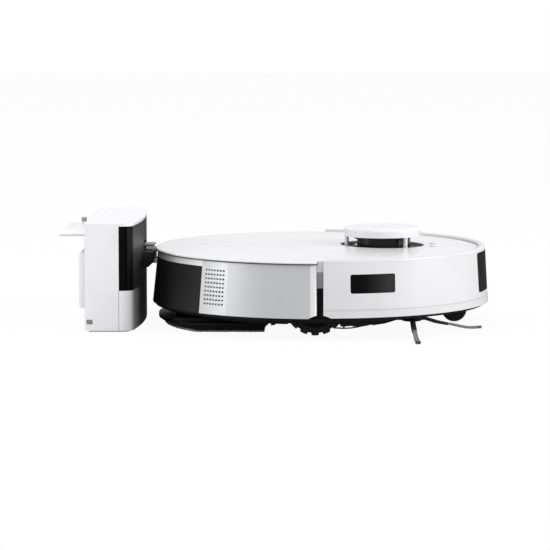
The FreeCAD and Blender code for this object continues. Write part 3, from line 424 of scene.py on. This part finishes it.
whiteShell = mouldedPlastic("whiteShell", (0.80, 0.80, 0.825, 1), 0.3, 0.03, 0.2)
finishes = {
    "whiteShell": whiteShell,
    "coverWhite": mouldedPlastic("coverWhite", (0.78, 0.78, 0.80, 1), 0.3, 0.03, 0.2, coverWhite),
    "bumperWhite": mouldedPlastic("bumperWhite", (0.68, 0.68, 0.70, 1), 0.34, 0.03, 0.1,
                                  bumperWhite),
    "dockWhite": mouldedPlastic("dockWhite", (0.86, 0.86, 0.885, 1), 0.3, 0.03, 0.2, dockWhite),
    "dockPlain": mouldedPlastic("dockPlain", (0.84, 0.84, 0.865, 1), 0.35, 0.04, 0.1),
    "capWhite": mouldedPlastic("capWhite", (0.80, 0.80, 0.825, 1), 0.3, 0.03, 0.2, capWhite),
    "deckTone": mouldedPlastic("deckTone", (0.80, 0.80, 0.825, 1), 0.4, 0.05, 0.0, deckTone),
    "silver": silverLacquer("silverLacquer", 0.58),
    "silverGrille": silverLacquer("silverGrille", 0.66),
    "grainBlack": mouldedPlastic("grainBlack", grey(0.005), 0.5, 0.22, shine=0.2),
    "satinBlack": mouldedPlastic("satinBlack", grey(0.017), 0.38, 0.04, shine=0.16),
    "pianoBlack": mouldedPlastic("pianoBlack", grey(0.003), 0.12, 0.01, shine=0.35),
    "smokedGrey": mouldedPlastic("smokedGrey", (0.040, 0.040, 0.042, 1), 0.36, 0.01, shine=0.1,
                                 colourAt=panelTone),
    "bracketWhite": mouldedPlastic("bracketWhite", (0.84, 0.84, 0.865, 1), 0.35, 0.04, 0.1,
                                   bracketTone),
    "silverTrim": silverLacquer("silverTrim", 0.95),
    "visor": mouldedPlastic("visor", grey(0.012), 0.2, 0.01, shine=0.2),
    "sideWindow": mouldedPlastic("sideWindow", grey(0.002), 0.14, 0.01, shine=0.08,
                                 colourAt=windowTone),
    "rubber": rubberSkin("rubber", grey(0.010)),
    "tyreRubber": rubberSkin("tyreRubber", grey(0.034), 0.68),
    "lightGrey": mouldedPlastic("lightGrey", grey(0.36), 0.45, 0.12),
    "paleGrey": mouldedPlastic("paleGrey", grey(0.80), 0.45, 0.12),
    "smokeBin": mouldedPlastic("smokeBin", (0.07, 0.075, 0.085, 1), 0.18, 0.02, 0.5),
    "springSteel": metalSheet("springSteel", (0.75, 0.75, 0.76, 1), 0.25, (1, 8, 1)),
    "drawnSteel": metalSheet("drawnSteel", (0.5, 0.5, 0.52, 1), 0.38, (1, 1, 9)),
    "nylon": nylonStrand(sweeper["hub"], sweeper["reach"]),
    "circuit": circuitLacquer(),
    "mop": mopPile(),
    "latchGrey": mouldedPlastic("latchGrey", grey(0.10), 0.3, 0.03, shine=0.5),
    "paper": pleatedPaper(),
    "lens": mouldedPlastic("sensorLens", (0.01, 0.006, 0.012, 1), 0.08, 0.0, 0.8),
    "light": frostedLens(),
}

finishOf = {
    "chassis_base": "grainBlack", "inner_deck": "deckTone", "underside_screws": "drawnSteel",
    "cliff_sensors": "lens", "side_panel_right": "silver", "side_panel_left": "silver",
    "vent_grilles": "silverGrille",
    "rear_panel": "satinBlack", "rear_trim": "silverTrim", "charging_contacts": "springSteel",
    "bumper_shell": "bumperWhite", "front_window": "visor", "side_windows": "sideWindow",
    "top_cover": "coverWhite", "status_light": "light", "power_button": "whiteShell",
    "home_button": "whiteShell", "lidar_base": "grainBlack", "lidar_motor": "drawnSteel",
    "lidar_head": "visor", "lidar_cap": "capWhite", "dust_bin": "smokeBin", "bin_filter": "paper",
    "bin_lid": "lightGrey", "water_tank": "smokeBin", "suction_duct": "grainBlack",
    "main_board": "circuit",
    "battery_pack": "satinBlack", "fan_housing": "grainBlack", "fan_impeller": "lightGrey",
    "brush_motor": "drawnSteel", "side_brush_motor": "drawnSteel",
    "suspension_arm_right": "grainBlack", "suspension_arm_left": "grainBlack",
    "drive_motor_right": "drawnSteel", "drive_motor_left": "drawnSteel",
    "wheel_hub_right": "grainBlack", "wheel_hub_left": "grainBlack", "tyre_right": "tyreRubber",
    "tyre_left": "tyreRubber", "castor_fork": "grainBlack", "castor_wheel": "satinBlack",
    "main_brush": "rubber", "brush_guard": "grainBlack", "side_brush_arms": "rubber",
    "side_brush_bristles": "rubber", "mop_plate": "grainBlack", "mop_pad": "mop",
    "dock_housing": "dockWhite", "dock_side_strips": "pianoBlack", "dock_front_panel": "smokedGrey",
    "dock_arm": "satinBlack", "dock_latch": "satinBlack", "dock_contacts": "springSteel",
    "dock_base": "grainBlack", "dock_foot_pad": "rubber", "dock_board": "circuit",
    "dock_back_cover": "dockPlain", "dock_wall_bracket": "bracketWhite",
    "dock_power_inlet": "paleGrey",
}


def paint(piece, finish):
    piece.data.materials.clear()
    piece.data.materials.append(finish)


def dressNodes():
    for node, finish in finishOf.items():
        paint(nodes[node], finishes[finish])


def makeFloor():
    bpy.ops.mesh.primitive_plane_add(size=studio["floorSize"])
    floor = bpy.context.object
    floor.name = "paleFloor"
    sheet = Sheet("paleFloor", Roughness=0.9, Specular_IOR_Level=0.0)
    sheet.feed("Base Color", sheet.mix(sheet.noise(3), studio["floorColour"], grey(0.84)))
    glow = sheet.add("ShaderNodeEmission", sockets={"Color": (1, 1, 1, 1), "Strength": 1.0})
    seen = sheet.add("ShaderNodeLightPath") * studio["floorGlow"]
    lit = Wire(sheet, sheet.shader.outputs[0])
    both = sheet.add("ShaderNodeMixShader", sockets={0: seen, 1: lit, 2: glow})
    dim = sheet.add("ShaderNodeEmission",
                    sockets={"Color": (1, 1, 1, 1), "Strength": studio["floorGloss"]})
    mirrored = sheet.add("ShaderNodeLightPath", out="Is Glossy Ray")
    both = sheet.add("ShaderNodeMixShader", sockets={0: mirrored, 1: both, 2: dim})
    sheet.tree.links.new(both.socket, sheet.tree.nodes["Material Output"].inputs["Surface"])
    paint(floor, sheet.material)


# modelling helpers
edges = {
    "mergeWithin": 0.00001,
    "flatWithin": 0.02,      # radians, between faces that become one
    "smoothUnder": 40,       # degrees
}


def alone(piece):
    bpy.ops.object.select_all(action="DESELECT")
    piece.select_set(True)
    bpy.context.view_layer.objects.active = piece


def editAll(piece):
    alone(piece)
    bpy.ops.object.mode_set(mode="EDIT")
    bpy.ops.mesh.select_all(action="SELECT")


def leaveEdit():
    bpy.ops.object.mode_set(mode="OBJECT")


def copyNode(node, name):
    # the node's shape as a new piece, with its loose triangles joined up
    piece = bpy.data.objects.new(name, nodes[node].data.copy())
    bpy.context.collection.objects.link(piece)
    editAll(piece)
    bpy.ops.mesh.remove_doubles(threshold=edges["mergeWithin"])
    bpy.ops.mesh.dissolve_limited(angle_limit=edges["flatWithin"])
    leaveEdit()
    return piece


def shapeWith(piece, kind, **settings):
    alone(piece)
    modifier = piece.modifiers.new(kind.lower(), kind)
    for key, value in settings.items():
        setattr(modifier, key, value)
    bpy.ops.object.modifier_apply(modifier=modifier.name)


def roundOff(piece, width, segments=2, angle=35):
    shapeWith(piece, "BEVEL", width=width, segments=segments, limit_method="ANGLE",
              angle_limit=math.radians(angle))
    alone(piece)
    bpy.ops.object.shade_smooth_by_angle(angle=math.radians(edges["smoothUnder"]))


def join(pieces, name):
    alone(pieces[0])
    for other in pieces[1:]:
        other.select_set(True)
    bpy.ops.object.join()
    whole = bpy.context.object
    whole.name = name
    return whole


def handOver(piece, body, finish, *replaced):
    alone(piece)
    bpy.ops.object.transform_apply(location=True, rotation=True, scale=True)
    paint(piece, finishes[finish])
    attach(piece, body)
    if replaced:
        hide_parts(*replaced)


# edges that catch the light on moulded pieces: node, body, bevel width, finish
softEdges = (
    ("side_brush_arms", "side_brush", 0.0009, "rubber"),
    ("dock_arm", "dock", 0.0012, "satinBlack"),
    ("dock_latch", "latch", 0.0006, "latchGrey"),
    ("castor_fork", "castor_swivel", 0.0005, "grainBlack"),
    ("brush_guard", "chassis", 0.0004, "grainBlack"),
    ("bin_lid", "bin", 0.0004, "lightGrey"),
    ("mop_plate", "mop", 0.0004, "grainBlack"),
    ("dock_wall_bracket", "dock", 0.0005, "bracketWhite"),
)


def softenEdges():
    for node, body, width, finish in softEdges:
        words = node.split("_")
        name = words[0] + "".join(word.capitalize() for word in words[1:]) + "Soft"
        piece = copyNode(node, name)
        roundOff(piece, width)
        handOver(piece, body, finish, node)


mopCloth = {
    "voxel": 0.0016,
    "tufts": 0.0035,      # size of the tufts
    "lift": 0.0007,       # how uneven they are
    "level": 0.7,         # the texture's grey that stays put
    "easing": 0.5,        # share of the smoothing at each pass
    "passes": 3,
    "plateGap": 0.00005,
}


def makeMopCloth():
    piece = copyNode("mop_pad", "mopCloth")
    shapeWith(piece, "REMESH", mode="VOXEL", voxel_size=mopCloth["voxel"])
    shapeWith(piece, "SMOOTH", factor=mopCloth["easing"], iterations=mopCloth["passes"])
    texture = bpy.data.textures.new("mopTufts", "CLOUDS")
    texture.noise_scale = mopCloth["tufts"]
    shapeWith(piece, "DISPLACE", texture=texture, strength=mopCloth["lift"],
              mid_level=mopCloth["level"])
    low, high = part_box("mop_pad")
    for vertex in piece.data.vertices:
        vertex.co.z = min(max(vertex.co.z, low[2]), high[2] - mopCloth["plateGap"])
    alone(piece)
    bpy.ops.object.shade_smooth()
    handOver(piece, "mop", "mop", "mop_pad")


def makeTufts():
    # nylon strands that fan out from each arm and lie down towards their tips
    chance = random.Random(sweeper["seed"])
    strands = bpy.data.curves.new("bristleTufts", "CURVE")
    strands.dimensions = "3D"
    strands.bevel_depth = sweeper["strand"]
    strands.bevel_resolution = 0
    strands.use_fill_caps = True
    hub = sweeper["hub"]
    run = sweeper["reach"] - sweeper["root"]
    widen = sweeper["halfTip"] - sweeper["halfRoot"]
    for angle, fullness in zip(sweeper["arms"], sweeper["fullness"]):
        turn = math.radians(angle)
        for index in range(sweeper["strands"]):
            share = chance.uniform(-1, 1)
            rise = chance.uniform(-1, 1)
            length = chance.uniform(sweeper["shortest"], 1.0)
            points = []
            for along, height in sweeper["fall"]:
                out = sweeper["root"] + run * along * length
                side = share * (sweeper["halfRoot"] + widen * along)
                side += sweeper["swept"] * along * along
                x = hub[0] + out * math.cos(turn) - side * math.sin(turn)
                y = hub[1] + out * math.sin(turn) + side * math.cos(turn)
                z = height + (rise + 0.5) * sweeper["spread"] * fullness
                points.append((x, y, max(z, sweeper["floorGap"]), 1))
            line = strands.splines.new("POLY")
            line.points.add(len(points) - 1)
            for point, place in zip(line.points, points):
                point.co = place
    piece = bpy.data.objects.new("bristleTufts", strands)
    bpy.context.collection.objects.link(piece)
    alone(piece)
    bpy.ops.object.convert(target="MESH")
    handOver(piece, "side_brush", "nylon", "side_brush_bristles")


mainRoller = {
    "axis": (0.024, 0.020),       # x, z
    "core": 0.009,
    "reach": 0.0178,
    "rib": 0.0016,
    "ribs": 6,
    "steps": 14,
    "runs": ((-0.0780, -0.0287, 42), (-0.0233, 0.0233, 40), (0.0287, 0.0780, -42)),   # y, y, twist
    "stub": 0.004,
    "stubEnd": 0.0895,
    "sunk": 0.0006,               # how deep a rib's root sits in the core
    "rodEdge": 0.0008,
    "ribEdge": 0.0004,
}


def ribRun(start, end, twist, name):
    # one rib extruded along the roller and turned at each step, then copied round
    x, z = mainRoller["axis"]
    root = mainRoller["core"] - mainRoller["sunk"]
    height = mainRoller["reach"] - root
    bpy.ops.mesh.primitive_plane_add(size=1, location=(x, start, z + root + height / 2),
                                     rotation=(math.pi / 2, 0, 0))
    rib = bpy.context.object
    rib.name = name
    rib.scale = (mainRoller["rib"], height, 1)
    alone(rib)
    bpy.ops.object.transform_apply(location=True, rotation=True, scale=True)
    editAll(rib)
    step = (end - start) / mainRoller["steps"]
    for index in range(mainRoller["steps"]):
        bpy.ops.mesh.extrude_region_move(TRANSFORM_OT_translate={"value": (0, step, 0)})
        bpy.ops.transform.rotate(value=math.radians(twist) / mainRoller["steps"], orient_axis="Y",
                                 center_override=(x, start + step * (index + 1), z))
    bpy.ops.mesh.select_all(action="SELECT")
    for index in range(mainRoller["ribs"] - 1):
        bpy.ops.mesh.duplicate()
        bpy.ops.transform.rotate(value=2 * math.pi / mainRoller["ribs"], orient_axis="Y",
                                 center_override=(x, 0, z))
    bpy.ops.mesh.select_all(action="SELECT")
    bpy.ops.mesh.normals_make_consistent(inside=False)
    leaveEdit()
    return rib


def makeRoller():
    x, z = mainRoller["axis"]
    pieces = []
    rods = ((mainRoller["core"], mainRoller["runs"][-1][1]),
            (mainRoller["stub"], mainRoller["stubEnd"]))
    for radius, half in rods:
        bpy.ops.mesh.primitive_cylinder_add(vertices=48, radius=radius, depth=2 * half,
                                            location=(x, 0, z), rotation=(math.pi / 2, 0, 0))
        rod = bpy.context.object
        alone(rod)
        bpy.ops.object.transform_apply(location=True, rotation=True, scale=True)
        roundOff(rod, mainRoller["rodEdge"], 2, 60)
        pieces.append(rod)
    for index, (start, end, twist) in enumerate(mainRoller["runs"]):
        run = ribRun(start, end, twist, "rollerRibs" + str(index))
        roundOff(run, mainRoller["ribEdge"], 1, 60)
        pieces.append(run)
    roller = join(pieces, "mainRoller")
    handOver(roller, "brush_roller", "rubber", "main_brush")


screwHead = {
    "places": (-0.064, -0.030, 0.030, 0.064),    # along Y
    "radius": 0.0035,
    "top": 0.0090,
    "face": 0.0082,
    "slot": 0.0005,      # half width of the cross
    "deep": 0.0005,      # and its depth
}


def makeScrews():
    # each head is a disc cut by four planes, with the cross between them sunk into it
    low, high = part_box("underside_screws")
    x = (low[0] + high[0]) / 2
    screws = []
    depth = screwHead["top"] - screwHead["face"]
    slot = screwHead["slot"]
    for y in screwHead["places"]:
        bpy.ops.mesh.primitive_cylinder_add(vertices=32, radius=screwHead["radius"], depth=depth,
                                            location=(x, y, screwHead["face"] + depth / 2))
        screw = bpy.context.object
        alone(screw)
        bpy.ops.object.transform_apply(location=True, rotation=True, scale=True)
        editAll(screw)
        for side in (-1, 1):
            for normal in ((1, 0, 0), (0, 1, 0)):
                bpy.ops.mesh.select_all(action="SELECT")
                bpy.ops.mesh.bisect(plane_co=(x + side * slot, y + side * slot, 0),
                                    plane_no=normal)
        bpy.ops.mesh.select_all(action="DESELECT")
        leaveEdit()
        for face in screw.data.polygons:
            middle = face.center
            near = min(abs(middle.x - x), abs(middle.y - y)) < slot * 0.9
            inside = math.hypot(middle.x - x, middle.y - y) < screwHead["radius"] * 0.8
            face.select = face.normal.z < -0.9 and near and inside
        bpy.ops.object.mode_set(mode="EDIT")
        bpy.ops.mesh.select_mode(type="FACE")
        sink = (0, 0, screwHead["deep"])
        bpy.ops.mesh.extrude_region_move(TRANSFORM_OT_translate={"value": sink})
        leaveEdit()
        screws.append(screw)
    whole = join(screws, "undersideScrewHeads")
    handOver(whole, "chassis", "springSteel", "underside_screws")


makeCamera()
makeLamps()
makeFloor()
dressNodes()
print("studio ready and nodes dressed")
softenEdges()
print("moulded edges rounded")
makeMopCloth()
makeTufts()
makeRoller()
makeScrews()
print("mop cloth, bristles, roller and screws made")
